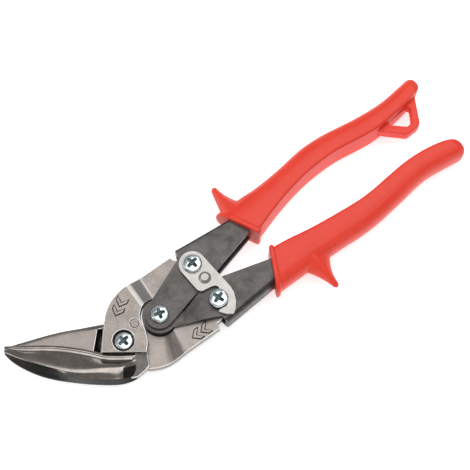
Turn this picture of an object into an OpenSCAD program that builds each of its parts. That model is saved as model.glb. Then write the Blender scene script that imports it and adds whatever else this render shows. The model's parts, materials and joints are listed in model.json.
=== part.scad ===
// Compound-action aviation snips: two forged blades worked by two channel handles.
// Origin: axis of the handle pivot, on the plane the snips lie on. +X runs from the
// jaws to the grips, +Y towards the upper handle, +Z up through the pivots.

/* [Linkage] */
// Distance from the handle pivot forward to the blade pivot
blade_pivot_d = 20; // [19.5:0.1:20.5]
// Distance from the handle pivot back to the two link screws
link_x = 25.5; // [25:0.1:26]
// Distance of each link screw from the centre line
link_y = 10.25; // [10:0.05:10.5]

/* [Blades] */
// Thickness of each forged blade plate
blade_t = 5; // [4.6:0.1:5.2]
// Length of the jaws from the blade pivot to the tips
jaw_len = 54; // [52:0.5:56]
// How far the cutting edges pass each other when closed
jaw_overlap = 1.8; // [1:0.1:2.5]
// Radius of the outer curve of each blade plate
plate_r = 22; // [21.5:0.1:22.5]
// Radius of the hollow in the lower blade's plate round the handle pivot
throat_r = 9; // [8.6:0.1:9.4]
// Radius of the same hollow in the upper blade's plate
rear_throat_r = 8.6; // [8.5:0.1:9]

/* [Handles] */
// Thickness of the handle sheet
sheet_t = 2; // [1.8:0.05:2.1]
// Height of the handle channel
channel_h = 12; // [11.8:0.1:12.4]
// Outside bend radius of the upper handle's channel
bend_r = 1.4; // [1:0.1:3.5]
// Outside bend radius of the lower handle's channel
lower_bend_r = 3; // [1:0.1:3.5]
// Radius of the upper handle's round end
upper_lobe_r = 6.7; // [6.4:0.1:7]
// Radius of the lower handle's round end
lower_lobe_r = 8.2; // [7.6:0.1:8.3]

/* [Grips] */
// Thickness of each grip
grip_h = 17; // [16:0.2:17.4]
// Thickness of the collar at the front of each grip
collar_h = 18; // [17.6:0.2:18]
// Thickness of the hanging loop
loop_h = 6; // [5:0.5:8]

/* [Screws] */
// Radius of the link and handle pivot screws
screw_r = 2.5; // [2.4:0.05:2.5]
// Radius of the blade pivot screw
pivot_r = 3; // [2.9:0.05:3]
// Width across the flats of the nuts
nut_af = 8; // [7.5:0.1:9]
// Height of the nuts
nut_h = 3; // [2.8:0.1:3]

/* [Latch] */
// Thickness of the latch plate
latch_t = 1.7; // [1.5:0.1:1.8]
// Radius of the latch's round end
latch_r = 6.2; // [5.8:0.1:6.4]

/* [Hidden] */
$fn = 64;
mid = 9;                          // height of the middle plane
gap = 0.05;                       // running clearance
plate_gap = 0.05;                 // each blade stays this far from the shear plane
flange_z = channel_h / 2;         // top of the channel, from the middle plane
inner_z = flange_z - sheet_t;     // inside of the channel, from the middle plane
nest_z = inner_z - 0.1;           // top of the lower handle where it nests in the upper
tail_z = blade_t / 2;             // the blades' tails lie on the middle plane
latch_z = flange_z + 0.5;         // underside of the latch
head_z = latch_z + latch_t + 0.1; // underside of the link screws' heads
blade_pivot = [-blade_pivot_d, 0];
upper_link = [link_x, link_y];
lower_link = [link_x, -link_y];
edge_slope = 23.3;                // slope of the handles' front edges
inner_slope = 15;                 // slope of the handles' inner edges
web_slope = -4.6;                 // slope of the handles' webs
web_start = [23.2, 21.1];         // front corner of the upper handle's web
jaw_angle = 145.5;                // direction of the jaws from the blade pivot
stop_at = [-11.5, 3.7];           // blade stop pin
collar_r = 2.7;                   // catch collar under the lower link screw's head
grip_x0 = 54;                     // front of the grips on their centre line

// Edges of the jaws: distance along the jaw axis, then distance across it
shear_line = [[-12, -5.6], [10, -5.2], [13, -4.2], [20, -2.5], [27, -1.3], [35, -0.6], [54, -0.6]];
belly_line = [[-12, -11.5], [-10, -13], [-6.5, -16.4], [-2.4, -18.4], [2, -19.3], [15, -18.8],
    [20, -18.2], [33, -15.8], [40, -13.4], [47, -9.8], [51, -7], [54, -4]];
crest_line = [[-12, -8], [0, -13], [10, -13.5], [22, -13.6], [31, -11.5], [45, -6.5], [54, -2.5]];
wall_line = [[-12, -10.5], [-2, -17], [12, -17.8], [24, -16.4], [31, -12.2], [44, -8], [54, -3.4]];
crest_height = [[-12, 3], [-6, 3], [0, 6], [10, 7], [30, 6.6], [45, 4.8], [54, 2.4]];
wall_height = [[-12, 2.8], [-6, 2.8], [0, 4.6], [10, 5.4], [30, 5.4], [45, 4], [54, 2]];
back_line = [[11, 9.3], [20, 7.8], [28, 6.6], [34.5, 5.2], [42, 3.2], [53.4, 0]];

// Sides of the grips, x then distance from the centre line
upper_inside = [[50, 4], [54, 5.4], [60, 7], [68, 9.2], [77, 11.5], [86, 13.5], [95, 15.2], [105, 16.1],
    [115, 16.1], [125, 14.9], [134, 14], [142, 14.2], [150, 15.2], [159, 16.8], [168, 19]];
upper_outside = [[50, 22.6], [66, 23.2], [73, 24], [87, 26.3], [102, 28.4], [110, 28.4], [116, 27.9],
    [132, 25.7], [147, 24.9], [158, 26], [168, 27.4]];
lower_inside = [[50, 4.2], [57, 4.9], [64, 5.5], [80, 7.6], [98, 9.3], [106, 9.8], [115, 9.6], [125, 8.5],
    [138, 7.5], [150, 8.2], [159, 10.2], [165, 13]];
lower_outside = [[50, 22.6], [66, 22.2], [88, 22.3], [100, 22.8], [110, 22.4], [124, 20.6], [142, 18.3],
    [155, 19.3], [165, 20.6]];
grip_wall = 2;                    // plastic between the channel and the grip's inner side
web_wall = 3.4;                   // plastic between the channel's web and the grip's outer side

// ---- helpers ----
// A point of a blade, from distances along and across the jaw axis
function jaw_pt(s, w) = blade_pivot + s * [cos(jaw_angle), sin(jaw_angle)]
    + w * [sin(jaw_angle), -cos(jaw_angle)];
// Points on an arc
function arc(c, r, a0, a1, n) = [for (i = [0:n]) let (a = a0 + (a1 - a0) * i / n)
    c + r * [cos(a), sin(a)]];
// Height of the web's outer face over the centre line
function web_y(x) = web_start.y + (x - web_start.x) * tan(web_slope);
// Where the upper handle's inner edge lies
function inner_y(x) = -upper_lobe_r / cos(inner_slope) + x * tan(inner_slope);

// Closed skin over a list of rings that all have the same number of points
module skin(rings) {
    n = len(rings[0]);
    m = len(rings);
    points = [for (ring = rings) each ring];
    sides = [for (i = [0:m - 2], j = [0:n - 1]) let (k = (j + 1) % n)
        each [[i * n + j, i * n + k, (i + 1) * n + k], [i * n + j, (i + 1) * n + k, (i + 1) * n + j]]];
    caps = [[for (j = [n - 1:-1:0]) j], [for (j = [0:n - 1]) (m - 1) * n + j]];
    polyhedron(points, concat(sides, caps), convexity = 6);
}

// A round bar between two heights above the middle plane
module bar(at, r, z0, z1) {
    translate([at.x, at.y, mid + z0])
        cylinder(r = r, h = z1 - z0);
}

// A washer, collar or spacer
module ring(at, r, bore, z0, z1) {
    difference() {
        bar(at, r, z0, z1);
        bar(at, bore, z0 - 1, z1 + 1);
    }
}

// A domed cross-head screw; its end is flush with the nut's underside
module screw(at, r, head_r, head_h, z_seat, z_end) {
    dome_r = (head_r * head_r + head_h * head_h) / (2 * head_h) * 1.6;
    difference() {
        union() {
            bar(at, r, z_end, z_seat + 0.5);
            intersection() {
                bar(at, head_r, z_seat, z_seat + head_h);
                translate([at.x, at.y, mid + z_seat + head_h - dome_r])
                    sphere(r = dome_r, $fn = 96);
            }
        }
        for (a = [20, 110])
            translate([at.x, at.y, mid + z_seat + head_h])
                rotate(a)
                    cube([head_r * 1.15, head_r * 0.26, head_h * 1.1], center = true);
    }
}

// A hexagon nut
module nut(at, bore, z0, z1) {
    translate([at.x, at.y, mid + z0])
        difference() {
            cylinder(r = nut_af / sqrt(3), h = z1 - z0, $fn = 6);
            translate([0, 0, -1])
                cylinder(r = bore, h = z1 - z0 + 2);
        }
}

// ---- blades ----
// Flat outline of the lower blade's plate and tail
module plate_outline(throat) {
    difference() {
        intersection() {
            polygon([[-31.2, 1.4], [-22.6, 11.8], [-22.6, 24], [-2, 24], [-2, 0],
                [-8.9, -1.2], [-11, -6.5], [-14.5, -10.7]]);
            translate([-5, 20.5 - plate_r])
                circle(r = plate_r, $fn = 128);
        }
        circle(r = throat);
    }
    difference() {
        union() {
            polygon([[-5, 20.5], [20.2, 20.5], [20.2, 19.1], [21.4, 17.6], [link_x, link_y + 6.6],
                upper_link, [link_x - 4, link_y - 5.6], [13, 10], [9, 11.3], [4, 9.6], [-5, 9]]);
            translate(upper_link)
                circle(r = 6.6);
        }
        circle(r = throat);
    }
}

// Side profile of the blades, a plate beside the shear plane joggled to a centred tail
module joggle(side) {
    top = blade_t;
    low = plate_gap;
    x0 = side > 0 ? -4.2 : -8;
    x1 = side > 0 ? 2 : 0.2;
    translate([0, 60, mid])
        rotate([90, 0, 0])
            linear_extrude(height = 120)
                polygon([[-80, side * low], [x0 - 1, side * low], [x1 - 1, -side * tail_z],
                    [45, -side * tail_z], [45, side * tail_z], [x1, side * tail_z],
                    [x0, side * top], [-80, side * top]]);
}

// One cross-section of the lower jaw at distance s from the blade pivot
function jaw_ring(s) = let (
    a = lookup(s, shear_line), q = lookup(s, belly_line),
    c = lookup(s, crest_line), k = lookup(s, wall_line),
    zc = lookup(s, crest_height), zk = lookup(s, wall_height),
    ze = min(2.6, zc), t = min(1, (a - c) / 6))
    [for (p = [[a, plate_gap], [a, ze], [a - 1.2 * t, min(ze + 0.5, zc)], [a - 2.8 * t, min(ze + 0.2, zc)],
        [(a + c) / 2 - t, (ze + zc) / 2 + 0.5 * t], [c, zc], [(c + k) / 2, (zc + zk) / 2 + 0.15],
        [k, zk], [(k + 2 * q) / 3, zk * 0.45], [q, plate_gap]])
        let (xy = jaw_pt(s, p[0])) [xy.x, xy.y, mid + p[1]]];

module lower_blade() {
    color([0.62, 0.6, 0.58])
        difference() {
            union() {
                intersection() {
                    linear_extrude(height = 2 * mid) {
                        plate_outline(throat_r);
                        polygon([[-31.2, 1.4], [-22.6, 11.8], [-14, 8], [-14.5, -10.7]]);
                    }
                    joggle(1);
                }
                skin([for (s = [-12, -10, -6.5, -2.4, 2, 6, 10, 13, 16, 20, 24, 27, 30, 33, 36, 40, 44,
                    47, 51, jaw_len]) jaw_ring(s)]);
                blade_mark([-13.2, 13.6], 33, mid + blade_t);
            }
            bar(blade_pivot, pivot_r + gap, -1, blade_t + 1);
            bar(blade_pivot, 4.95, blade_t - 2.6, blade_t + 9);
            bar(stop_at, 2 + gap, -1, blade_t + 1);
            bar(upper_link, screw_r + gap, -9, 9);
        }
}

// Raised double chevron, a plain cutting-direction mark
module blade_mark(at, turn, z) {
    translate([at.x, at.y, z - 0.1])
        rotate(turn)
            linear_extrude(height = 0.5)
                for (dx = [-2.2, 1.4])
                    polygon([[dx + 1.4, -2], [dx - 0.6, 0], [dx + 1.4, 2], [dx + 2.6, 2], [dx + 0.6, 0],
                        [dx + 2.6, -2]]);
}

module upper_blade() {
    slot_r = norm(stop_at - blade_pivot);
    color([0.6, 0.58, 0.56])
        difference() {
            union() {
                intersection() {
                    linear_extrude(height = 2 * mid)
                        union() {
                            mirror([0, 1])
                                plate_outline(rear_throat_r);
                            difference() {
                                polygon(concat(
                                    [for (s = [jaw_len, 48, 42, 34.5, 27, 20, 13, 10, 4])
                                        jaw_pt(s, lookup(s, shear_line) - jaw_overlap)],
                                    [[-20, -12], [-12, -6], [-8.65, 0], [-8.8, 2.7], [-9, 4.2],
                                        [-9.35, 6.8], [-11, 10], [-19, 11.8], [-23.9, 14]],
                                    [for (s = [20, 28, 34.5, 42, jaw_len - 0.6])
                                        jaw_pt(s, lookup(s, back_line))]));
                                circle(r = rear_throat_r);
                            }
                        }
                    joggle(-1);
                    upper_jaw_taper();
                }
                mirror([0, 1])
                    blade_mark([10, 16.9], 0, mid + tail_z);
            }
            bar(blade_pivot, pivot_r + 0.3, -9, 1);
            bar(lower_link, screw_r + gap, -9, 9);
            // slot the stop pin travels in
            for (a = [20.5, 25, 30, 35, 41.5])
                bar(blade_pivot + slot_r * [cos(a), sin(a)], 2.35, -9, 1);
            // relief groove beside the lower blade's plate
            translate([-31.2, 1.4, mid - 1.8])
                rotate(50.4)
                    translate([-2.5, 0.15, 0])
                        cube([17, 1.25, 3]);
        }
}

// The back of the upper jaw thins towards its tip
module upper_jaw_taper() {
    translate([0, 60, mid])
        rotate([90, 0, 0])
            linear_extrude(height = 120)
                polygon([[-80, -2], [-64, -2.6], [-30, -blade_t - 0.1], [60, -blade_t - 0.1], [60, 9],
                    [-80, 9]]);
}

module blade_stop_pin() {
    color([0.55, 0.54, 0.52])
        bar(stop_at, 2, -2.5, blade_t);
}

module blade_pivot_screw() {
    color([0.82, 0.84, 0.85])
        screw(blade_pivot, pivot_r, 4.4, 2.5, blade_t - 2.5, -8.8);
}

module blade_pivot_washer() {
    color([0.75, 0.76, 0.77])
        ring(blade_pivot, 6, pivot_r + gap, -blade_t - 0.85, -blade_t - 0.05);
}

module blade_pivot_nut() {
    color([0.78, 0.79, 0.8])
        nut(blade_pivot, pivot_r + 0.02, -8.8, -blade_t - 0.85);
}

// ---- handles ----
// Outline of the stretch of a handle inside its grip, for the upper or lower grip's sides
function hidden_web(out) = [for (x = [60, 75, 88, 102, 112, 124, 134, 144, 153])
    [x, x == 60 ? web_y(60) : lookup(x, out) - web_wall]];
function hidden_edge(ins) = [for (x = [153, 142, 134, 125, 115, 105, 95, 80, 60])
    [x, x == 60 ? inner_y(60) : lookup(x, ins) + grip_wall]];

// Flat outline of a handle, seen as the upper one; grow widens it for the grip's pocket
module handle_outline(ins, out, grow = 0) {
    front = upper_lobe_r * [-sin(edge_slope), cos(edge_slope)];
    polygon(concat([front, [22.4, 16.9], web_start, [60, web_y(60) + grow]],
        [for (p = hidden_web(out)) if (p.x > 60) p + [grow, grow]],
        [for (p = hidden_edge(ins)) if (p.x > 60) p + [p.x > 150 ? grow : 0, -grow]],
        [[60, inner_y(60) - grow], upper_lobe_r * [sin(inner_slope), -cos(inner_slope)] - [0, grow]]));
}

// The space beyond the web's inner face
module web_zone(out) {
    t = sheet_t;
    polygon(concat([[-9, web_y(-9) - t]], [for (p = hidden_web(out)) p - [0, t]],
        [[160, 12], [160, 60], [-9, 60]]));
}

// Rounds the bends of the web where it shows
module bend_cutter(r) {
    for (side = [1, -1])
        translate([web_start.x, web_start.y, mid])
            rotate(web_slope)
                translate([-5, 0, 0])
                    rotate([90, 0, 90])
                        linear_extrude(height = 40)
                            difference() {
                                translate([-r, side > 0 ? flange_z - r : -flange_z - 1])
                                    square([r + 1, r + 1]);
                                translate([-r, side * (flange_z - r)])
                                    circle(r = r);
                            }
}

module upper_handle_channel() {
    color([0.2, 0.2, 0.2])
        difference() {
            union() {
                translate([0, 0, mid - flange_z])
                    linear_extrude(height = channel_h)
                        handle_outline(upper_inside, upper_outside);
                bar([0, 0], upper_lobe_r, -flange_z, flange_z);
            }
            // the space between the flanges, open towards the other handle
            translate([0, 0, mid - inner_z])
                linear_extrude(height = 2 * inner_z)
                    difference() {
                        translate([-20, -30])
                            square([200, 70]);
                        web_zone(upper_outside);
                    }
            bend_cutter(bend_r);
            bar([0, 0], screw_r + gap, -9, 9);
            bar(upper_link, screw_r + gap, -9, 9);
        }
}

// Outline of the lower handle: beyond the joggle it stops short of the upper handle's edge
module lower_handle_outline() {
    difference() {
        mirror([0, 1])
            union() {
                handle_outline(lower_inside, lower_outside);
                circle(r = lower_lobe_r);
            }
        polygon([[9.9, inner_y(9.9) - 0.6], [26.5, inner_y(26.5) - 0.6], [32, 8], [7.2, 9], [5.5, 4]]);
    }
}

// Side view of the lower handle's upper flange, nested at the pivot and raised behind it
module flange_sheet() {
    turn = -23.6;
    translate([0, 0, mid])
        rotate(turn)
            translate([0, 60, 0])
                rotate([90, 0, 0])
                    linear_extrude(height = 140)
                        polygon([[-12, nest_z - sheet_t], [10, nest_z - sheet_t], [18.6, inner_z],
                            [220, inner_z],
                            [220, flange_z], [18.6, flange_z], [10, nest_z], [-12, nest_z]]);
}

module lower_handle_channel() {
    color([0.2, 0.2, 0.2])
        difference() {
            union() {
                intersection() {
                    linear_extrude(height = 2 * mid)
                        lower_handle_outline();
                    union() {
                        flange_sheet();
                        translate([0, 0, 2 * mid])
                            mirror([0, 0, 1])
                                flange_sheet();
                    }
                }
                translate([0, 0, mid - flange_z])
                    linear_extrude(height = channel_h)
                        mirror([0, 1])
                            intersection() {
                                handle_outline(lower_inside, lower_outside);
                                web_zone(lower_outside);
                            }
            }
            mirror([0, 1, 0])
                bend_cutter(lower_bend_r);
            bar([0, 0], screw_r + gap, -9, 9);
            bar(lower_link, screw_r + gap, -9, 9);
        }
}

// ---- grips ----
// One cross-section of a grip on the plane through x, leaning with the slanted collar
function grip_ring(x, ins, out, h, swell) = let (
    y0 = lookup(x, ins) - swell, y1 = lookup(x, out) + swell, w = y1 - y0,
    lean = -0.49 * max(0, min(1, (84 - x) / 26)), mean = (y0 + y1) / 2)
    [for (p = [[0, 0.86], [0.07, 0.96], [0.3, 1], [0.68, 0.96], [0.91, 0.72], [1, 0.3],
        [1, -0.3], [0.91, -0.72], [0.68, -0.96], [0.3, -1], [0.07, -0.96], [0, -0.86]])
        let (y = y0 + w * p[0]) [x + lean * (y - mean), y, mid + h / 2 * p[1]]];

// A grip without its pocket, seen as the upper one
module grip_body(ins, out, end) {
    skin(concat(
        [grip_ring(grip_x0, ins, out, collar_h - 1, 0.3), grip_ring(grip_x0 + 0.8, ins, out, collar_h, 0.8),
            grip_ring(grip_x0 + 3, ins, out, collar_h, 0.8), grip_ring(grip_x0 + 4.2, ins, out, grip_h, 0)],
        [for (x = [62, 66, 72, 78, 85, 92, 99, 106, 113, 120, 127, 134, 141, 148, 155]) if (x < end - 5)
            grip_ring(x, ins, out, grip_h, 0)],
        [grip_ring(end - 4, ins, out, grip_h - 0.6, -0.2), grip_ring(end - 1.4, ins, out, grip_h - 4, -1.4),
            grip_ring(end, ins, out, grip_h - 9, -3.4)]));
}

// The thumb guard that stands out of a grip
module thumb_guard(foot, tip, foot_w) {
    hull() {
        translate([tip.x, tip.y, mid])
            sphere(r = 1.9, $fn = 16);
        translate([foot.x, foot.y, mid])
            cube([foot_w, 2, 9], center = true);
        translate([(foot.x + 2 * tip.x) / 3, (foot.y + 2 * tip.y) / 3, mid])
            sphere(r = 2.9, $fn = 16);
    }
}

// Space the handle fills inside its grip
module grip_pocket(ins, out) {
    translate([0, 0, mid - flange_z - gap])
        linear_extrude(height = channel_h + 2 * gap)
            handle_outline(ins, out, gap);
}

module hanging_loop() {
    translate([0, 0, mid - loop_h / 2])
        linear_extrude(height = loop_h)
            difference() {
                polygon(concat([[136.5, 15]], arc([149.5, 7.4], 3.4, 230, 270, 4),
                    arc([154, 7.8], 3.6, 280, 335, 4), [[163.5, 17.5], [160, 21]]));
                polygon(concat(arc([150.9, 8.6], 1.1, 220, 270, 3), arc([153.1, 8.7], 1.1, 280, 340, 3),
                    arc([157, 14.4], 1, 340, 450, 3), arc([145.4, 13.4], 1, 90, 220, 3)));
            }
}

module upper_grip() {
    color([0.87, 0.2, 0.16])
        difference() {
            union() {
                difference() {
                    union() {
                        grip_body(upper_inside, upper_outside, 168);
                        thumb_guard([59, 22.5], [56.7, 36.4], 8);
                    }
                    // the hanging hole runs up to the grip's inner side
                    translate([0, 0, -1])
                        linear_extrude(height = 2 * mid + 2)
                            polygon([[148.6, 9], [157, 9], [157, 14.9], [148.6, 14.4]]);
                }
                hanging_loop();
            }
            grip_pocket(upper_inside, upper_outside);
        }
}

module lower_grip() {
    color([0.87, 0.2, 0.16])
        mirror([0, 1, 0])
            difference() {
                union() {
                    grip_body(lower_inside, lower_outside, 165);
                    thumb_guard([76, 21.5], [74.6, 34.6], 9);
                }
                grip_pocket(lower_inside, lower_outside);
            }
}

// ---- handle pivot ----
module handle_pivot_screw() {
    color([0.82, 0.84, 0.85])
        screw([0, 0], screw_r, 4.2, 2.3, flange_z + 0.02, -mid);
}

module handle_pivot_sleeve() {
    color([0.7, 0.7, 0.7])
        ring([0, 0], 3.6, screw_r + gap, -nest_z + sheet_t + gap, nest_z - sheet_t - gap);
}

module handle_pivot_nut() {
    color([0.78, 0.79, 0.8])
        nut([0, 0], screw_r + 0.02, -mid, -flange_z - 0.02);
}

// Torsion spring: three coils round the sleeve, and two arms that push the blade tails apart
module return_spring() {
    wire = 0.58;
    coil_r = 5;
    pitch = 1.2;
    arm = 21;
    color([0.45, 0.45, 0.47]) {
        for (i = [-1:1])
            translate([0, 0, mid + i * pitch])
                rotate_extrude()
                    translate([coil_r, 0])
                        circle(r = wire);
        for (side = [1, -1])
            translate([0, 0, mid + side * pitch])
                rotate(side * 16)
                    translate([-0.8, side * -coil_r, 0])
                        rotate([0, 90, 0])
                            cylinder(r = wire - 0.08, h = arm);
    }
}

// ---- latch ----
module latch() {
    notch_r = 5.2;
    tip = lower_link + [-2.9, -4.45];
    color([0.8, 0.79, 0.77])
        difference() {
            union() {
                translate([0, 0, mid + latch_z])
                    linear_extrude(height = latch_t)
                        difference() {
                            union() {
                                translate(upper_link)
                                    circle(r = latch_r);
                                polygon(concat([upper_link + [0, latch_r]],
                                    arc([22.9, -0.4], 2.8, 180, 275, 5),
                                    [[25.2, -3.5], [27, -3.9], [28.2, -4.5], [28.8, -5.5]],
                                    arc([24.6, -10.25], notch_r, 40, -70, 8),
                                    [tip, [22.2, -15.4]],
                                    [[24.2, -18.1], [27, -19.8], [29, -18.6], [31.4, -15.6], [32.9, -12],
                                    [33.3, -8.8], [31.7, link_y]]));
                                polygon([[19.3, link_y], [20.1, -0.4], [22.9, -0.4], upper_link]);
                            }
                            // path the catch collar leaves by
                            translate(lower_link)
                                rotate(200.5)
                                    translate([0, -3.2])
                                        square([14, 6.4]);
                            translate(lower_link)
                                circle(r = 3.2);
                        }
                translate([26.3, 1.5, mid + latch_z + latch_t - 0.2])
                    cylinder(r1 = 3.1, r2 = 1.7, h = 1.5);
            }
            bar(upper_link, screw_r + gap, 0, 12);
        }
}

module latch_washer() {
    color([0.75, 0.76, 0.77])
        ring(upper_link, 4.8, screw_r + gap, flange_z + 0.02, latch_z - 0.03);
}

module latch_catch_collar() {
    color([0.4, 0.4, 0.4])
        ring(lower_link, collar_r + 0.15, screw_r + 0.02, flange_z + 0.02, head_z - 0.02);
}

// ---- link screws ----
module link_spacers(at) {
    for (z = [-inner_z + gap, tail_z + gap])
        ring(at, 4.5, screw_r + gap, z, z + inner_z - tail_z - 2 * gap);
}

module upper_link_screw() {
    color([0.82, 0.84, 0.85])
        screw(upper_link, screw_r, 4.5, 2.3, head_z, -mid);
}

module upper_link_spacers() {
    color([0.65, 0.65, 0.66])
        link_spacers(upper_link);
}

module upper_link_nut() {
    color([0.78, 0.79, 0.8])
        nut(upper_link, screw_r + 0.02, -mid, -flange_z - 0.02);
}

module lower_link_screw() {
    color([0.82, 0.84, 0.85])
        screw(lower_link, screw_r, 4.5, 2.3, head_z, -mid);
}

module lower_link_spacers() {
    color([0.65, 0.65, 0.66])
        link_spacers(lower_link);
}

module lower_link_nut() {
    color([0.78, 0.79, 0.8])
        nut(lower_link, screw_r + 0.02, -mid, -flange_z - 0.02);
}

lower_blade();
upper_blade();
blade_stop_pin();
blade_pivot_screw();
blade_pivot_washer();
blade_pivot_nut();
upper_handle_channel();
lower_handle_channel();
upper_grip();
lower_grip();
handle_pivot_screw();
handle_pivot_sleeve();
handle_pivot_nut();
return_spring();
latch();
latch_washer();
upper_link_screw();
upper_link_spacers();
upper_link_nut();
lower_link_screw();
lower_link_spacers();
lower_link_nut();
latch_catch_collar();
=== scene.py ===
import json
import math

import bmesh
import bpy
from mathutils import Matrix, Vector
from mathutils.geometry import delaunay_2d_cdt


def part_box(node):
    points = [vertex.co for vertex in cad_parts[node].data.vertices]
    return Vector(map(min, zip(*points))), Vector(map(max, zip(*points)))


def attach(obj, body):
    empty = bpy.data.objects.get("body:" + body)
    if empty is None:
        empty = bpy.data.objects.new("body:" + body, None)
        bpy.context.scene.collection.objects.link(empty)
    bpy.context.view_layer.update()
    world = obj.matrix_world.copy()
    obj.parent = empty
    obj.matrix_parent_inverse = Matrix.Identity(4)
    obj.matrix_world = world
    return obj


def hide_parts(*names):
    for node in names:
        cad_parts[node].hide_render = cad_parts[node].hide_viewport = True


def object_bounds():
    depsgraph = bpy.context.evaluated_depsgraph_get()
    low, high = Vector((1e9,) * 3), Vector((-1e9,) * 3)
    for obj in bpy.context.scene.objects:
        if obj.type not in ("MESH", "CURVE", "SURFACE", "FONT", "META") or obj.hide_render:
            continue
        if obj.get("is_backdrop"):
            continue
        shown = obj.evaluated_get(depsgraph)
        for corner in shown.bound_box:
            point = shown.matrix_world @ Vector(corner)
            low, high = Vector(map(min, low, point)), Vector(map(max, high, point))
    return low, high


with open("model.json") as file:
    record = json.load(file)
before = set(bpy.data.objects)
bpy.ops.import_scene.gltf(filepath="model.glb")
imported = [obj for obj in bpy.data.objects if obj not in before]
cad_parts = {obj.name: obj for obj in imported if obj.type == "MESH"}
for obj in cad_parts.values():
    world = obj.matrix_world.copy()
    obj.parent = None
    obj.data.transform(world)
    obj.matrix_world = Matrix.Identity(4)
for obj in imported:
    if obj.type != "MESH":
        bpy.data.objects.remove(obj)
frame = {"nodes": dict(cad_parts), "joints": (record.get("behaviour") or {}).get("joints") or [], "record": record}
MM = 0.001
joints = {j["name"]: j for j in frame["joints"]}
MID = joints["handle_pivot"]["pos_m"][2] / MM  # height of the middle plane


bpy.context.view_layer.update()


# ---------------------------------------------------------------- materials
def srgb(code):
    """A #rrggbb colour as linear RGBA."""
    parts = [int(code[i:i + 2], 16) / 255 for i in (1, 3, 5)]
    return tuple(c / 12.92 if c <= 0.04045 else ((c + 0.055) / 1.055) ** 2.4 for c in parts) + (1,)


def add(mat, kind, inputs=None, **settings):
    """One shader node with its settings, values and links."""
    n = mat.node_tree.nodes.new("ShaderNode" + kind)
    for key, value in settings.items():
        setattr(n, key, value)
    for socket, value in (inputs or {}).items():
        if isinstance(value, bpy.types.NodeSocket):
            mat.node_tree.links.new(value, n.inputs[socket])
        else:
            n.inputs[socket].default_value = value
    return n


def ramp(mat, value, stops):
    """A colour ramp over a value; stops are (position, #rrggbb)."""
    n = add(mat, "ValToRGB", {0: value})
    e = n.color_ramp.elements
    while len(e) < len(stops):
        e.new(0.5)
    for element, (position, code) in zip(e, stops):
        element.position = position
        element.color = srgb(code)
    return n.outputs[0]


def spread(mat, value, low, high, start=0.3, end=0.7):
    """A value between low and high, as the given one goes from start to end."""
    return add(mat, "MapRange", {0: value, 1: start, 2: end, 3: low, 4: high}).outputs[0]


def new_material(name):
    mat = bpy.data.materials.new(name)
    mat.use_nodes = True
    mat.node_tree.nodes.clear()
    place = add(mat, "TexCoord").outputs["Object"]
    place = add(mat, "VectorMath", {0: place, 1: (1 / MM,) * 3}, operation="MULTIPLY").outputs[0]
    return mat, place


def grain(mat, place, size, detail=3, rough=0.55, stretch=None, turn=0):
    """Noise with features of about that size in mm, longer along a direction if stretched."""
    if stretch:
        place = add(mat, "Mapping", {"Vector": place, "Rotation": (0, 0, math.radians(-turn)),
                                     "Scale": stretch}, vector_type="TEXTURE").outputs[0]
    return add(mat, "TexNoise", {"Vector": place, "Scale": 1 / size, "Detail": detail,
                                 "Roughness": rough}).outputs[0]


def surface(mat, heights, **inputs):
    """The finished surface. heights are (value, depth in mm) pairs for the bump."""
    normal = None
    for value, depth in heights:
        links = {"Height": value, "Distance": depth * MM, "Strength": 1}
        if normal:
            links["Normal"] = normal
        normal = add(mat, "Bump", links).outputs[0]
    if normal:
        inputs["Normal"] = normal
    shader = add(mat, "BsdfPrincipled", {k.replace("_", " "): v for k, v in inputs.items()})
    add(mat, "OutputMaterial", {0: shader.outputs[0]})
    return mat


def blasted_steel():
    """Forged steel after shot blasting: a fine salt-and-pepper grain and soft warm-grey clouds."""
    mat, p = new_material("blasted forged steel")
    fine, cloud = grain(mat, p, 0.3, 4, 0.7), grain(mat, p, 7, 3)
    pits = grain(mat, p, 0.7, 2, 0.6)
    tone = ramp(mat, cloud, [(0.3, "#857e79"), (0.7, "#958e88")])
    speck = ramp(mat, fine, [(0.36, "#68625e"), (0.5, "#ffffff")])
    colour = add(mat, "Mix", {0: 0.6, 6: tone, 7: speck}, data_type="RGBA", blend_type="MULTIPLY").outputs[2]
    return surface(mat, [(fine, 0.006), (pits, 0.012)], Base_Color=colour, Metallic=1,
                   Roughness=spread(mat, fine, 0.42, 0.3))


def polished_steel():
    """The ground and polished jaw: near-mirror, with faint lines left along the jaw."""
    mat, p = new_material("polished jaw steel")
    lines = grain(mat, p, 0.9, 2, 0.5, stretch=(14, 1, 1), turn=145.5)
    cloud = grain(mat, p, 5, 3)
    return surface(mat, [(lines, 0.0012), (cloud, 0.02)],
                   Base_Color=ramp(mat, cloud, [(0.3, "#8c8580"), (0.7, "#a39c96")]), Metallic=1,
                   Roughness=spread(mat, lines, 0.19, 0.26))


def ground_edge_and_highlight():
    """Freshly ground edges, smoother than the face beside them and painted brighter: a painted highlight line
    along each edge.
    """
    mat, p = new_material("ground steel edge with painted highlight")
    lines = grain(mat, p, 0.3, 3)
    return surface(mat, [(lines, 0.003)], Base_Color=ramp(mat, lines, [(0.3, "#d8d4d0"), (0.7, "#f2efec")]),
                   Metallic=1, Roughness=spread(mat, lines, 0.24, 0.36))


def black_oxide():
    """Oil-black sheet steel: satin, with rub marks along the handle and a fine mill grain."""
    mat, p = new_material("black oxide on sheet")
    fine, cloud = grain(mat, p, 0.35, 4, 0.7), grain(mat, p, 6, 4)
    rub = grain(mat, p, 0.5, 3, stretch=(16, 1, 1), turn=10)
    tone = ramp(mat, cloud, [(0.3, "#4b4947"), (0.7, "#64615f")])
    speck = ramp(mat, fine, [(0.36, "#8a8683"), (0.52, "#ffffff")])
    colour = add(mat, "Mix", {0: 0.7, 6: tone, 7: speck}, data_type="RGBA", blend_type="MULTIPLY").outputs[2]
    return surface(mat, [(fine, 0.008), (rub, 0.004)], Base_Color=colour, Metallic=0.85,
                   Roughness=spread(mat, rub, 0.33, 0.46))


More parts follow.
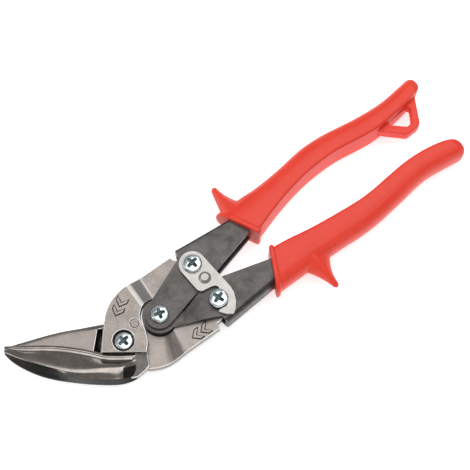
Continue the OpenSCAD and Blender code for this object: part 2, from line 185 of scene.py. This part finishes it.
def red_vinyl():
    """Soft dipped vinyl: saturated red, faint orange-peel skin and a slightly waxy sheen."""
    mat, p = new_material("red vinyl grip")
    peel, cloud, dust = grain(mat, p, 1.6, 2, 0.4), grain(mat, p, 14, 3), grain(mat, p, 0.35, 3)
    colour = ramp(mat, cloud, [(0.3, "#ec402f"), (0.7, "#f34a36")])
    return surface(mat, [(peel, 0.015), (dust, 0.003)], Base_Color=colour,
                   Roughness=spread(mat, cloud, 0.36, 0.44), Subsurface_Weight=0.12,
                   Subsurface_Radius=(1.0, 0.25, 0.15), Subsurface_Scale=0.0025, Specular_IOR_Level=0.32)


def satin_nickel():
    """Nickel-plated stamping: pale, satin, with a fine tumbled grain."""
    mat, p = new_material("satin nickel plate")
    fine, cloud = grain(mat, p, 0.4, 4, 0.6), grain(mat, p, 4, 3)
    return surface(mat, [(fine, 0.004)], Base_Color=ramp(mat, cloud, [(0.3, "#aeaba7"), (0.7, "#c0bdb9")]),
                   Metallic=0.9, Roughness=spread(mat, fine, 0.42, 0.52))


def bright_zinc():
    """Bright zinc plate on the screws: cold white metal with light handling marks."""
    mat, p = new_material("bright zinc plate")
    marks, cloud = grain(mat, p, 0.5, 3, 0.6), grain(mat, p, 2, 2)
    return surface(mat, [(marks, 0.0012)], Base_Color=ramp(mat, cloud, [(0.3, "#c3cdd0"), (0.7, "#d9e1e2")]),
                   Metallic=1, Roughness=spread(mat, marks, 0.2, 0.28))


def plain_steel(name, dark, light, roughness):
    """Turned or drawn steel with rings and a thin film of oil."""
    mat, p = new_material(name)
    lines = grain(mat, p, 0.3, 3, stretch=(1, 1, 0.3))
    return surface(mat, [(lines, 0.004)], Base_Color=ramp(mat, lines, [(0.3, dark), (0.7, light)]),
                   Metallic=1, Roughness=spread(mat, lines, roughness, roughness + 0.12))


def forge_scale(name, dark, light):
    """Forged skin that was never ground: dull, with a hammered ripple."""
    mat, p = new_material(name)
    fine, cloud = grain(mat, p, 0.5, 4, 0.65), grain(mat, p, 3, 3)
    return surface(mat, [(fine, 0.01), (cloud, 0.03)],
                   Base_Color=ramp(mat, cloud, [(0.3, dark), (0.7, light)]), Metallic=0.7,
                   Roughness=spread(mat, fine, 0.34, 0.5))


# the edge material is ground steel painted bright, a painted highlight along the bevelled edges
BLASTED, POLISHED, EDGE_AND_HIGHLIGHT = blasted_steel(), polished_steel(), ground_edge_and_highlight()
# near-black forge scale, painted darker as shade on the jaw's outer wall, and painted shade in hollows and round
# the raised marks
SCALE_AND_SHADE = forge_scale("black forge scale and painted shade", "#1a1918", "#2e2c2a")
# mid-grey skin on the heel behind the jaw
SKIN = forge_scale("dull forged skin", "#55514e", "#6d6864")
# painted highlight: pale bands along the two bends where the press bent the plate
BEND_HIGHLIGHT = plain_steel("steel with painted highlight on the press bends", "#a5a19d", "#b7b3ae", 0.34)
# painted shade: the darker band on the ramp between those two bends
RAMP_SHADE = plain_steel("steel with painted shade on the ramp", "#6c6a69", "#7e7b79", 0.34)
# painted shade: dark blue-grey inside the screws' crosses
RECESS_SHADE = plain_steel("zinc with painted shade in the cross recess", "#3f4a4e", "#66757a", 0.28)
BLACK = black_oxide()
RED, NICKEL, ZINC = red_vinyl(), satin_nickel(), bright_zinc()
# grey turned pins, sleeves and spacers with fine rings
TURNED = plain_steel("turned pin steel", "#6a6764", "#8d8a87", 0.3)
# darker oiled wire of the return spring
WIRE = plain_steel("drawn spring wire", "#55544f", "#7c7a76", 0.28)
SLOTS = {"forged_blade": BLASTED, "black_channel": BLACK, "red_grip": RED, "plated_latch": NICKEL,
         "zinc_screw": ZINC, "pin_steel": TURNED, "spring_wire": WIRE}


# ---------------------------------------------------------------- mesh helpers
def at(x, y, z):
    """A point from millimetres, with z from the middle plane."""
    return Vector((x, y, z + MID)) * MM


def curve_of(table):
    """A smooth function through the points of a table."""
    def value(x):
        if x <= table[0][0]:
            return table[0][1]
        if x >= table[-1][0]:
            return table[-1][1]
        i = max(k for k in range(len(table) - 1) if table[k][0] <= x)
        (x0, y0), (x1, y1) = table[i], table[i + 1]
        slope = (y1 - y0) / (x1 - x0)
        before = (y0 - table[i - 1][1]) / (x0 - table[i - 1][0]) if i > 0 else slope
        after = (table[i + 2][1] - y1) / (table[i + 2][0] - x1) if i + 2 < len(table) else slope
        m0, m1 = (slope + before) / 2 * (x1 - x0), (slope + after) / 2 * (x1 - x0)
        t = (x - x0) / (x1 - x0)
        return ((2 * t ** 3 - 3 * t ** 2 + 1) * y0 + (t ** 3 - 2 * t ** 2 + t) * m0
                + (3 * t ** 2 - 2 * t ** 3) * y1 + (t ** 3 - t ** 2) * m1)
    return value


def piece(name, bm, body, materials):
    """Puts a mesh in the scene, riding on a body."""
    bmesh.ops.recalc_face_normals(bm, faces=bm.faces)
    mesh = bpy.data.meshes.new(name)
    bm.to_mesh(mesh)
    bm.free()
    for m in materials:
        mesh.materials.append(m)
    mesh.shade_smooth()
    o = bpy.data.objects.new(name, mesh)
    bpy.context.scene.collection.objects.link(o)
    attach(o, body)
    return o


def modifier(o, kind, **settings):
    """Adds a modifier with its settings."""
    m = o.modifiers.new(kind.lower(), kind)
    for key, value in settings.items():
        setattr(m, key, value)
    return m


def soften(o, width, segments=2, angle=30, edge_highlight_material=-1):
    """Rounds a piece's sharp edges; the rounding can have its own material, here a painted highlight along the
    edges.
    """
    modifier(o, "WELD", merge_threshold=0.002 * MM)
    modifier(o, "BEVEL", width=width * MM, segments=segments, limit_method="ANGLE",
             angle_limit=math.radians(angle), material=edge_highlight_material, use_clamp_overlap=edge_highlight_material < 0)
    modifier(o, "WEIGHTED_NORMAL", keep_sharp=True, weight=70)


def loft(bm, rings):
    """Joins rings of points, in mm, with faces and closes both ends."""
    rows = [[bm.verts.new(at(*p)) for p in ring] for ring in rings]
    n = len(rows[0])
    for a, b in zip(rows, rows[1:]):
        for i in range(n):
            bm.faces.new((a[i], a[(i + 1) % n], b[(i + 1) % n], b[i]))
    bm.faces.new(rows[0])
    bm.faces.new(rows[-1])
    return rows


def inside(p, loop):
    """Whether a flat point lies inside a loop."""
    crossings = sum((ay > p.y) != (by > p.y) and p.x < ax + (p.y - ay) / (by - ay) * (bx - ax)
                    for (ax, ay), (bx, by) in zip(loop, loop[1:] + loop[:1]))
    return crossings % 2 == 1


def slab(outline, holes, low, high, rim=None):
    """A flat plate between two heights, with holes.

    rim is (inner line, outer line, drop) for a bevelled margin.
    """
    flat, edges = [], []
    for loop in [outline] + holes:
        first = len(flat)
        flat += [Vector(p) for p in loop]
        edges += [(first + i, first + (i + 1) % len(loop)) for i in range(len(loop))]
    points, _, faces, *_ = delaunay_2d_cdt(flat, edges, [], 1, 1e-6)
    bm = bmesh.new()
    verts = [bm.verts.new(at(x, y, high)) for x, y in points]
    for face in faces:
        middle = sum((points[i] for i in face), Vector((0, 0))) / len(face)
        if inside(middle, outline) and not any(inside(middle, hole) for hole in holes):
            bm.faces.new([verts[i] for i in face])
    if rim:
        inner, outer, drop = rim
        near = [min(bm.verts, key=lambda v: (v.co - at(x, y, high)).length) for x, y in inner]
        far = [bm.verts.new(at(x, y, high - drop)) for x, y in outer]
        for i in range(len(near) - 1):
            bm.faces.new((near[i], near[i + 1], far[i + 1], far[i]))
    made = bmesh.ops.extrude_face_region(bm, geom=list(bm.faces))["geom"]
    for v in made:
        if isinstance(v, bmesh.types.BMVert):
            v.co.z = (low + MID) * MM
    bmesh.ops.recalc_face_normals(bm, faces=bm.faces)
    return bm


def circle(x, y, r, n=48, start=0, end=360):
    """Points round a circle, or along an arc with both ends."""
    steps = n - 1 if abs(end - start) < 360 else n
    return [(x + r * math.cos(math.radians(start + (end - start) * i / steps)),
             y + r * math.sin(math.radians(start + (end - start) * i / steps))) for i in range(n)]


def lathe(bm, x, y, profile, n=48):
    """Turns (radius, height) points about an upright axis."""
    rows = [[bm.verts.new(at(x + r * math.cos(2 * math.pi * i / n), y + r * math.sin(2 * math.pi * i / n), z))
             for i in range(n)] for r, z in profile]
    for a, b in zip(rows, rows[1:]):
        for i in range(n):
            bm.faces.new((a[i], a[(i + 1) % n], b[(i + 1) % n], b[i]))
    bm.faces.new(rows[0])
    bm.faces.new(rows[-1])


# ---------------------------------------------------------------- grips
UPPER_IN = [(50, 4), (54, 5.4), (60, 7), (68, 9.2), (77, 11.5), (86, 13.5), (95, 15.2), (105, 16.1),
            (115, 16.1), (125, 14.9), (134, 14), (142, 14.2), (150, 15.2), (159, 16.8), (168, 19)]
UPPER_OUT = [(50, 23), (58, 24.4), (66, 25.2), (73, 25), (87, 26.3), (102, 28.4), (110, 28.4), (116, 27.9),
             (132, 25.7), (147, 24.9), (158, 26), (168, 27.4)]
LOWER_IN = [(50, 4.2), (57, 4.9), (64, 5.5), (80, 7.6), (98, 9.3), (106, 9.8), (115, 9.6), (125, 8.5),
            (138, 7.5), (150, 8.2), (159, 10.2), (165, 13)]
LOWER_OUT = [(50, 22.6), (66, 22.2), (88, 22.3), (100, 22.8), (110, 22.4), (124, 20.6), (142, 18.3),
             (155, 19.3), (165, 20.6)]
# share of the width and of the half height, round one side of a grip's section
SECTION = [(0, 0), (0, 0.55), (0, 0.9), (0.035, 0.975), (0.12, 1), (0.3, 1), (0.5, 0.985), (0.68, 0.92),
           (0.82, 0.8), (0.93, 0.6), (0.985, 0.35), (1, 0)]
GRIP_H, COLLAR_H = 17, 18


def grip_ring(x, inside, outside, h, swell):
    """One section of a grip, leaning back near the collar."""
    y0, y1 = inside(x) - swell, outside(x) + swell
    lean = -0.49 * max(0, min(1, (84 - x) / 26))
    full = SECTION + [(w, -z) for w, z in reversed(SECTION[1:-1])]
    return [(x + lean * (y0 + (y1 - y0) * w - (y0 + y1) / 2), y0 + (y1 - y0) * w, h / 2 * z) for w, z in full]


def grip(name, body, inner, outer, end, side, fin_rings, extra=None):
    """A dipped grip: body, slanted collar and finger guard fused as one moulding."""
    inside, outside = curve_of(inner), curve_of(outer)
    rings = [grip_ring(54, inside, outside, COLLAR_H - 0.4, 0.9),
             grip_ring(54.3, inside, outside, COLLAR_H, 1.2),
             grip_ring(56, inside, outside, COLLAR_H, 1.2),
             grip_ring(56.5, inside, outside, GRIP_H - 0.4, -0.1)]
    x = 58
    while x < end - 5:
        rings.append(grip_ring(x, inside, outside, GRIP_H, 0))
        x += 2
    for back, drop, pull in ((4, 0.1, 0), (2.8, 0.6, 0.1), (1.7, 1.6, 0.5),
                             (0.9, 3, 1.1), (0.3, 5, 1.9), (0, 7.5, 3)):
        rings.append(grip_ring(end - back, inside, outside, GRIP_H - drop, -pull))
    bm = bmesh.new()
    loft(bm, [[(a, side * b, c) for a, b, c in ring] for ring in rings])
    loft(bm, [[(a, side * b, c) for a, b, c in ring] for ring in fin_rings])
    if extra:
        extra(bm)
    o = piece(name, bm, body, [RED])
    modifier(o, "REMESH", mode="VOXEL", voxel_size=0.36 * MM, use_smooth_shade=True)
    modifier(o, "SMOOTH", factor=0.5, iterations=5)
    return o


def fin(root, tip, ahead, behind, thick, tip_r, ahead_flare, behind_flare):
    """Rings of a pointed guard from inside the grip to its tip, with a ridge along its middle."""
    rings = []
    dx, dy = tip[0] - root[0], tip[1] - root[1]
    length = math.hypot(dx, dy)
    ux, uy = dx / length, dy / length
    steps = 24
    for k in range(steps + 1):
        t = k / steps
        cap = math.sqrt(max(0.04, 1 - (max(0, t - 0.93) / 0.075) ** 2))
        front = (tip_r + (ahead - tip_r) * (1 - t) ** ahead_flare) * cap * min(1, 0.25 + 3 * t)
        back = (tip_r + (behind - tip_r) * (1 - t) ** behind_flare) * cap
        high = (tip_r + (thick - tip_r) * (1 - t ** 1.5)) * cap
        cx, cy = root[0] + dx * t, root[1] + dy * t
        ring = []
        for i in range(20):
            a = 2 * math.pi * i / 20
            c, s = math.cos(a), math.sin(a)
            pinch = 1.15 + 0.6 * t  # nearly a lozenge at the foot, rounder at the tip
            r = 1 / (abs(c) ** pinch + abs(s) ** pinch) ** (1 / pinch)
            across = c * r * (front if c < 0 else back)
            ring.append((cx + across * uy, cy - across * ux, s * r * high))
        rings.append(ring)
    return rings


def hanging_loop(bm):
    """The triangular loop under the end of the upper grip."""
    outer = [(136.5, 15)] + circle(149.5, 7.4, 3.4, 6, 230, 270) + circle(154, 7.8, 3.6, 6, 280, 335) + [
        (163.5, 17.5), (160, 21)]
    inner = circle(150.9, 8.6, 1.1, 5, 220, 270) + circle(153.1, 8.7, 1.1, 5, 280, 340) + circle(
        157, 14.4, 1, 5, 340, 450) + circle(145.4, 13.4, 1, 5, 90, 220)
    made = slab(outer, [inner], -3, 3)
    mesh = bpy.data.meshes.new("loop")
    made.to_mesh(mesh)
    made.free()
    bm.from_mesh(mesh)


UPPER_FIN = fin((56, 17), (56.8, 37.8), 5.6, 15, 8.2, 1.5, 1, 2)
LOWER_FIN = fin((72.5, 12.5), (74.6, 36.2), 13, 20, 8.3, 1.5, 1.9, 2)
upper_grip = grip("dipped_upper_grip", "upper_handle", UPPER_IN, UPPER_OUT, 168, 1, UPPER_FIN, hanging_loop)
lower_grip = grip("dipped_lower_grip", "lower_handle", LOWER_IN, LOWER_OUT, 165, -1, LOWER_FIN)
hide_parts("upper_grip")
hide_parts("lower_grip")

# ---------------------------------------------------------------- blades
JAW = math.radians(145.5)
PIVOT, THROAT_R, PLATE_R = (-20, 0), 9, 22
BLADE_T, TAIL_Z, PLATE_GAP = 5, 2.5, 0.05
SHEAR = [(-12, -5.6), (10, -5.2), (13, -4.2), (20, -2.5), (27, -1.3), (35, -0.6), (54, -0.6)]
BELLY = [(-12, -11.5), (-10, -13), (-6.5, -16.4), (-2.4, -18.4), (2, -19.3), (15, -18.8), (20, -18.2),
         (33, -15.8), (40, -13.4), (47, -9.8), (51, -7), (54, -4)]
CREST = [(-12, -8), (0, -13), (10, -13.5), (22, -13.6), (31, -11.5), (45, -6.5), (54, -2.5)]
WALL = [(-12, -10.5), (-2, -17), (12, -17.8), (24, -16.4), (31, -12.2), (44, -8), (54, -3.4)]
CREST_Z = [(-8, 1.9), (-5.5, 2.9), (-0.5, 5.9), (3, 6.5), (10, 7), (30, 6.6), (45, 4.8), (54, 2.4)]
WALL_Z = [(-8, 1.7), (-4.5, 2.8), (1, 4.8), (10, 5.4), (30, 5.4), (45, 4), (54, 2)]
BACK = [(7, 9.9), (11, 9.3), (20, 7.8), (28, 6.6), (34.5, 5.2), (42, 3.2), (53.4, 0)]


def jaw_pt(s, w):
    """A point from distances along and across the jaw axis."""
    return (PIVOT[0] + s * math.cos(JAW) + w * math.sin(JAW),
            PIVOT[1] + s * math.sin(JAW) - w * math.cos(JAW))


def fan_share(x, y, a, b, ramp_side):
    """How far a point lies from line a (0) to line b (1)."""
    low, high = -1.0, 2.0
    for _ in range(24):
        t = (low + high) / 2
        px, py, qx, qy = [(1 - t) * u + t * v for u, v in zip(a[0] + a[1], b[0] + b[1])]
        side = (qx - px) * (y - py) - (qy - py) * (x - px)
        low, high = (t, high) if side * ramp_side > 0 else (low, t)
    return low


BEND = 0.24  # share of a joggle's ramp that each bend takes


def eased(t, d=BEND):
    """0 before the joggle and 1 after it, with a radius at both bends."""
    if t < d:
        return (max(t, -d) + d) ** 2 / (4 * d)
    if t > 1 - d:
        return 1 - (max(1 + d - t, 0)) ** 2 / (4 * d)
    return t


def joggled_plate(outline, holes, low, high, a, b, shift, side, rim=None, power=1, highlight_bands=()):
    """A plate whose tail is set up or down by shift between lines a and b."""
    bm = slab(outline, holes, low, high, rim)
    bend = [k * BEND / 3 for k in range(-3, 4)]
    for t in bend + [0.4, 0.5, 0.6, 0.7] + [1 + k for k in bend]:
        p = [(1 - t) * u + t * v for u, v in zip(a[0], b[0])]
        q = [(1 - t) * u + t * v for u, v in zip(a[1], b[1])]
        bmesh.ops.bisect_plane(bm, geom=bm.verts[:] + bm.edges[:] + bm.faces[:], plane_co=at(p[0], p[1], 0),
                               plane_no=Vector((q[1] - p[1], p[0] - q[0], 0)).normalized(), dist=1e-7)
    # faces in the bend bands get the painted highlight material, faces on the ramp between them the painted shade
    # material
    for f in bm.faces:
        middle = f.calc_center_median()
        t = fan_share(middle.x / MM, middle.y / MM, a, b, side)
        if abs(f.normal.z) > 0.9 and any(low_t < t < high_t for low_t, high_t in highlight_bands):
            f.material_index = 2
        elif highlight_bands and abs(f.normal.z) > 0.9 and highlight_bands[0][1] <= t <= highlight_bands[1][0]:
            f.material_index = 3
    for v in bm.verts:
        t = fan_share(v.co.x / MM, v.co.y / MM, a, b, side)
        v.co.z += shift * (eased(t) if power == 1 else eased(max(t, 0)) ** power) * MM
    bmesh.ops.dissolve_limit(bm, angle_limit=math.radians(0.6), verts=bm.verts, edges=bm.edges,
                             delimit={"MATERIAL"})
    return bm


def arc_between(cx, cy, r, start, end, n):
    """An arc of n points, with its angles before its count."""
    return circle(cx, cy, r, n, start, end)


# front plate and tail, clockwise from the corner by the jaw
FRONT = ([(-31.2, 1.4), (-22.6, 11.8)] + arc_between(-5, 20.5 - PLATE_R, PLATE_R, 141, 92, 14)
         + [(20.2, 20.5), (20.2, 19.1), (21.4, 17.6)] + arc_between(25.5, 10.25, 6.6, 60, -60, 14)
         + [(21.5, 4.65), (13, 10), (10.6, 10.7)] + arc_between(0, 0, THROAT_R, 68, 187, 24)
         + [(-11, -6.5), (-14.5, -10.7)])
bm = joggled_plate(FRONT, [circle(*PIVOT, 4.95), circle(-11.5, 3.7, 2.12, 32)], PLATE_GAP, BLADE_T,
                   ((-4.1, 0), (-4.1, 30)), ((2.2, 0), (3.7, 30)), -TAIL_Z, -1,
                   highlight_bands=((-0.05, 0.28), (0.9, 1.02)))
front_plate = piece("front_plate", bm, "lower_blade", [BLASTED, EDGE_AND_HIGHLIGHT, BEND_HIGHLIGHT, RAMP_SHADE])
soften(front_plate, 0.35, 2, 40, edge_highlight_material=1)
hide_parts("lower_blade")

# rear plate, its tail and the flat upper jaw in one outline
upper_edge = [jaw_pt(s, curve_of(SHEAR)(s) - 1.8) for s in (54, 48, 42, 34.5, 27, 20, 13, 8)]
back = curve_of(BACK)
steps = (7, 11, 14, 17, 20, 23, 26, 29, 32, 35, 38, 41, 44, 47, 50, 52, 53.4)
back_edge = [jaw_pt(s, back(s)) for s in steps]
back_line = [jaw_pt(s, back(s) - min(2.3, 0.25 + (53.4 - s) * 0.3)) for s in steps]
REAR = (upper_edge + [(-27.5, -8)]
        + [(x, -y) for x, y in arc_between(-5, 20.5 - PLATE_R, PLATE_R, 141, 92, 14)]
        + [(18.9, -20.5), (19.3, -17.9), (20.4, -17.9)] + arc_between(25.5, -10.25, 6.6, -60, 60, 14)
        + [(21.5, -4.65), (13, -10), (10.6, -10.7)] + arc_between(0, 0, 8.6, -67, -180, 24)
        + [(-8.8, 2.7), (-9.0, 4.2), (-9.35, 6.8), (-11, 10), (-16, 11)] + back_line)
GROOVE = [(-31.9, 2), (-22.9, 12.9), (-24.7, 14.1), (-34.3, 4)]
bm = joggled_plate(REAR, [circle(*PIVOT, 3.3, 32), GROOVE], -BLADE_T, -PLATE_GAP,
                   ((-4.5, -7.7), (-10.1, -18.3)), ((0.9, -10.3), (-0.4, -20.1)), TAIL_Z, 1,
                   (back_line, back_edge, 0.75), power=1.6)
for v in bm.verts:
    x, z = v.co.x / MM, v.co.z / MM - MID
    if z < -2.5 and x < -30:
        v.co.z = (MID - 2.6 - 2.4 * max(0, min(1, (x + 64) / 34))) * MM
rear_plate = piece("rear_plate", bm, "upper_blade", [BLASTED, EDGE_AND_HIGHLIGHT])
soften(rear_plate, 0.35, 2, 40, edge_highlight_material=1)
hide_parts("upper_blade")
# a near-black slab deep in the groove: painted shade in the narrow gap beside the front plate's edge
piece("groove_floor_in_painted_shade", slab([(-31, 1), (-22, 12), (-24.6, 14.6), (-35.4, 4.2)], [], -4.5, -2.2), "upper_blade",
      [SCALE_AND_SHADE])


def jaw_section(s):
    """One section of the lower jaw: the ground land, the rolled valley, the crest, the wall."""
    a, q, c, k, zc, zk = [curve_of(t)(s) for t in (SHEAR, BELLY, CREST, WALL, CREST_Z, WALL_Z)]
    t, ze = min(1, max(0.15, (a - c) / 6)), min(2.6, zc)
    return [(a, PLATE_GAP), (a, ze), (a - 1.2 * t, min(ze + 0.5, zc)), (a - 2 * t, min(ze + 0.15, zc)),
            (a - 2.8 * t, min(ze + 0.3, zc)), ((a + c) / 2 - 0.6 * t, (ze + zc) / 2 + 0.2 * t),
            (c + 1.6 * t, zc - 0.45 * t), (c, zc), (c - 1.2 * t, zc - 0.1),
            ((c + k) / 2, (zc + zk) / 2 + 0.25), (k + 0.5, zk + 0.15), (k, zk),
            (k - (k - q) * 0.25, zk * 0.8), ((k + 2 * q) / 3, zk * 0.42), (q, 0.8), (q, PLATE_GAP)]


bm = bmesh.new()
stations = [*range(-8, 3), 4, 7, 10, 13, 16, 20, 24, 27, 29, 31, 34, 37, 40, 43, 46, 49, 51, 52.5, 53.5, 54]
loft(bm, [[jaw_pt(s, w) + (z,) for w, z in jaw_section(s)] for s in stations])
n = len(jaw_section(0))
crisp = {1: 1, 2: 0.7, 4: 0.5, 11: 0.75, 15: 1, 0: 1}
bm.verts.index_update()
layer = bm.edges.layers.float.new("crease_edge")
for e in bm.edges:
    i, j = sorted(v.index for v in e.verts)
    if i % n == j % n and i % n in crisp:
        e[layer] = crisp[i % n]
    elif i // n == j // n and i // n in (0, len(stations) - 1):
        e[layer] = 0.8
# the outer wall gets the near-black material, forge scale with painted shade where the wall turns away from the
# light; crest and wall faces at the heel end are near-black too
for f in bm.faces:
    columns = sorted({v.index % n for v in f.verts})
    if len(columns) == 2 and columns[0] in (11, 12, 13, 14):
        f.material_index = 1
    row = min(v.index // n for v in f.verts)
    if len(columns) == 2 and row < 8 and columns[0] in (7, 8, 9, 10):
        f.material_index = 1
lower_jaw = piece("lower_jaw", bm, "lower_blade", [POLISHED, SCALE_AND_SHADE])
modifier(lower_jaw, "SUBSURF", levels=2, render_levels=2)
HEEL = [(-14.5, -10.7), (-16.9, -16.1), (-18.9, -16.9), (-24, -17.3), (-27, -16), (-24, -9), (-18, -7.4)]
heel = piece("jaw_heel", slab(HEEL, [], PLATE_GAP, 2.9), "lower_blade", [SKIN, EDGE_AND_HIGHLIGHT])
soften(heel, 0.45, 2, 40, edge_highlight_material=1)


def chevrons(name, body, x, y, z, turn):
    """A plain raised mark for the cutting direction, standing on a wider near-black foot that is painted shade
    round its base.
    """
    c, s = math.cos(math.radians(turn)), math.sin(math.radians(turn))
    bm = bmesh.new()
    for dx in (-3, 1.6):
        face = [(dx + 1.9, -2.5), (dx - 0.7, 0), (dx + 1.9, 2.5), (dx + 3.6, 2.5), (dx + 1, 0),
                (dx + 3.6, -2.5)]
        foot = [(dx + 1.7, -2.95), (dx - 1.3, 0), (dx + 1.7, 2.95), (dx + 4.3, 2.95), (dx + 1.6, 0),
                (dx + 4.3, -2.95)]
        # the wider foot takes the near-black material: painted shade round the mark's base
        for flat, low, high, slot in ((foot, z - 0.2, z + 0.05, 1), (face, z - 0.1, z + 0.45, 0)):
            made = slab([(x + c * u - s * v, y + s * u + c * v) for u, v in flat], [], low, high)
            for f in made.faces:
                f.material_index = slot
            mesh = bpy.data.meshes.new(name)
            made.to_mesh(mesh)
            made.free()
            bm.from_mesh(mesh)
    o = piece(name, bm, body, [BLASTED, SCALE_AND_SHADE])
    soften(o, 0.12, 2, 40)
    return o


chevrons("front_mark", "lower_blade", -13.2, 13.6, BLADE_T, 33)
chevrons("rear_mark", "upper_blade", 10, -16.9, TAIL_Z, 0)

# ---------------------------------------------------------------- screw heads
def screw_head(name, node, body, turn):
    """A domed head with a cross recess that deepens to its middle."""
    low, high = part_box(node)
    cx, cy = (low.x + high.x) / 2 / MM, (low.y + high.y) / 2 / MM
    top, radius = high.z / MM - MID, (high.x - low.x) / 2 / MM
    seat = top - (2.5 if "blade" in node else 2.3)
    bm = bmesh.new()
    rounds, spokes = 46, 144
    crown, fall = 0.85, 2.2  # how far the dome drops at its rim, and how late
    rows = []
    for i in range(rounds + 1):
        r = radius * i / rounds
        row = []
        for j in range(spokes):
            a = 2 * math.pi * j / spokes
            x, y = r * math.cos(a), r * math.sin(a)
            share = r / radius
            z = top - crown * share ** fall - 0.65 * max(0, (share - 0.86) / 0.14) ** 2
            for b in (0, 90):
                c, s = math.cos(math.radians(turn + b)), math.sin(math.radians(turn + b))
                along, across = abs(c * x + s * y), abs(c * y - s * x)
                arm, half = radius * 0.64, 0.6 + 0.25 * (1 - min(1, r / radius / 0.64))
                if along < arm and across < half + 0.12:
                    cut = min(1, (half + 0.12 - across) / 0.16) * min(1, (arm - along) / 0.2)
                    z = min(z, top - cut * (0.75 + 0.9 * (1 - along / arm)))
            row.append(bm.verts.new(at(cx + x, cy + y, z)))
            if i == 0:
                break
        rows.append(row)
    skirt = [bm.verts.new(v.co + Vector((0, 0, (seat + MID) * MM - v.co.z))) for v in rows[-1]]
    rows.append(skirt)
    for j in range(spokes):
        bm.faces.new((rows[0][0], rows[1][j], rows[1][(j + 1) % spokes]))
    for a, b in zip(rows[1:], rows[2:]):
        for j in range(spokes):
            bm.faces.new((a[j], b[j], b[(j + 1) % spokes], a[(j + 1) % spokes]))
    bm.faces.new(skirt)
    # faces sunk into the cross get the dark material: painted shade in the recess
    dome = [top - crown * (r / rounds) ** fall for r in range(rounds + 1)]
    for f in bm.faces:
        middle = f.calc_center_median() / MM
        share = min(1, math.hypot(middle.x - cx, middle.y - cy) / radius)
        if share < 0.66 and middle.z - MID < dome[int(share * rounds)] - 0.18:
            f.material_index = 1
    shank = (3 if "blade" in node else 2.5)
    lathe(bm, cx, cy, [(shank, low.z / MM - MID), (shank, seat + 0.2)])
    o = piece(name, bm, body, [ZINC, RECESS_SHADE])
    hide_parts(node)
    return o


for node, body, turn in (("blade_pivot_screw", "lower_blade", 9), ("handle_pivot_screw", "upper_handle", -15),
                         ("upper_link_screw", "upper_handle", 12), ("lower_link_screw", "lower_handle", 18)):
    screw_head(node + "_head", node, body, turn)

# ---------------------------------------------------------------- CAD nodes that stay
for name, obj in frame["nodes"].items():
    slot_name = next(s["material_slot"] for s in frame["record"]["subparts"] if s["node"] == name)
    if obj.hide_render:
        continue
    for s in obj.material_slots:
        s.link = "OBJECT"
        s.material = SLOTS[slot_name]
    obj.data.shade_smooth()
    width = {"forged_blade": 0.3, "black_channel": 0.3, "plated_latch": 0.3}.get(slot_name, 0.12)
    soften(obj, width)

# ---------------------------------------------------------------- floor, light and camera
floor_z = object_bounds()[0].z
bm = bmesh.new()
bmesh.ops.create_grid(bm, x_segments=2, y_segments=2, size=4)
mesh = bpy.data.meshes.new("floor")
bm.to_mesh(mesh)
bm.free()
floor = bpy.data.objects.new("floor", mesh)
floor.location = (0.05, 0, floor_z - 0.0005)
bpy.context.scene.collection.objects.link(floor)
paper, p = new_material("white paper")
shade = grain(paper, p, 30, 2)
surface(paper, [], Base_Color=ramp(paper, shade, [(0.3, "#f4f4f4"), (0.7, "#f8f8f8")]), Roughness=0.9,
        Emission_Color=(1, 1, 1, 1), Emission_Strength=0.6)
mesh.materials.append(paper)
floor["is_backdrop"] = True

world = bpy.data.worlds.new("studio")
world.use_nodes = True
world.node_tree.nodes["Background"].inputs[0].default_value = srgb("#ffffff")
world.node_tree.nodes["Background"].inputs[1].default_value = 0.3
bpy.context.scene.world = world


def softbox(name, place, aim, width, height, power):
    """A large soft lamp that points at a place on the snips."""
    light = bpy.data.lights.new(name, "AREA")
    light.shape = "RECTANGLE"
    light.size, light.size_y, light.energy = width, height, power
    o = bpy.data.objects.new(name, light)
    o.location = place
    o.rotation_euler = (Vector(aim) - Vector(place)).to_track_quat("-Z", "Y").to_euler()
    bpy.context.scene.collection.objects.link(o)
    return o


centre = sum(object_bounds(), Vector()) / 2
softbox("top softbox", centre + Vector((0.1, 0.04, 0.85)), centre, 0.9, 1.0, 5.4)
softbox("strip softbox", centre + Vector((0.5, 0.27, 0.78)), centre, 0.08, 0.5, 0.5)
softbox("left softbox", centre + Vector((-0.8, 0.25, 0.4)), centre, 0.3, 0.5, 1.2)

VIEW = Vector((0.20211, 0.27592, -0.93969))  # direction the camera looks in
camera = bpy.data.objects.new("camera", bpy.data.cameras.new("camera"))
camera.location = (-0.06233, -0.14276, 0.53757)
camera.rotation_mode = "QUATERNION"
right = Vector((0.80672, -0.59094, 0))  # the picture's right, level with the floor
up = right.cross(VIEW)
camera.rotation_quaternion = Matrix((right, up, -VIEW)).transposed().to_quaternion()
camera.data.lens, camera.data.sensor_width = 91.91, 36
camera.data.clip_start, camera.data.clip_end = 0.01, 20
bpy.context.scene.collection.objects.link(camera)
bpy.context.scene.camera = camera
bpy.context.scene.view_settings.view_transform = "Standard"
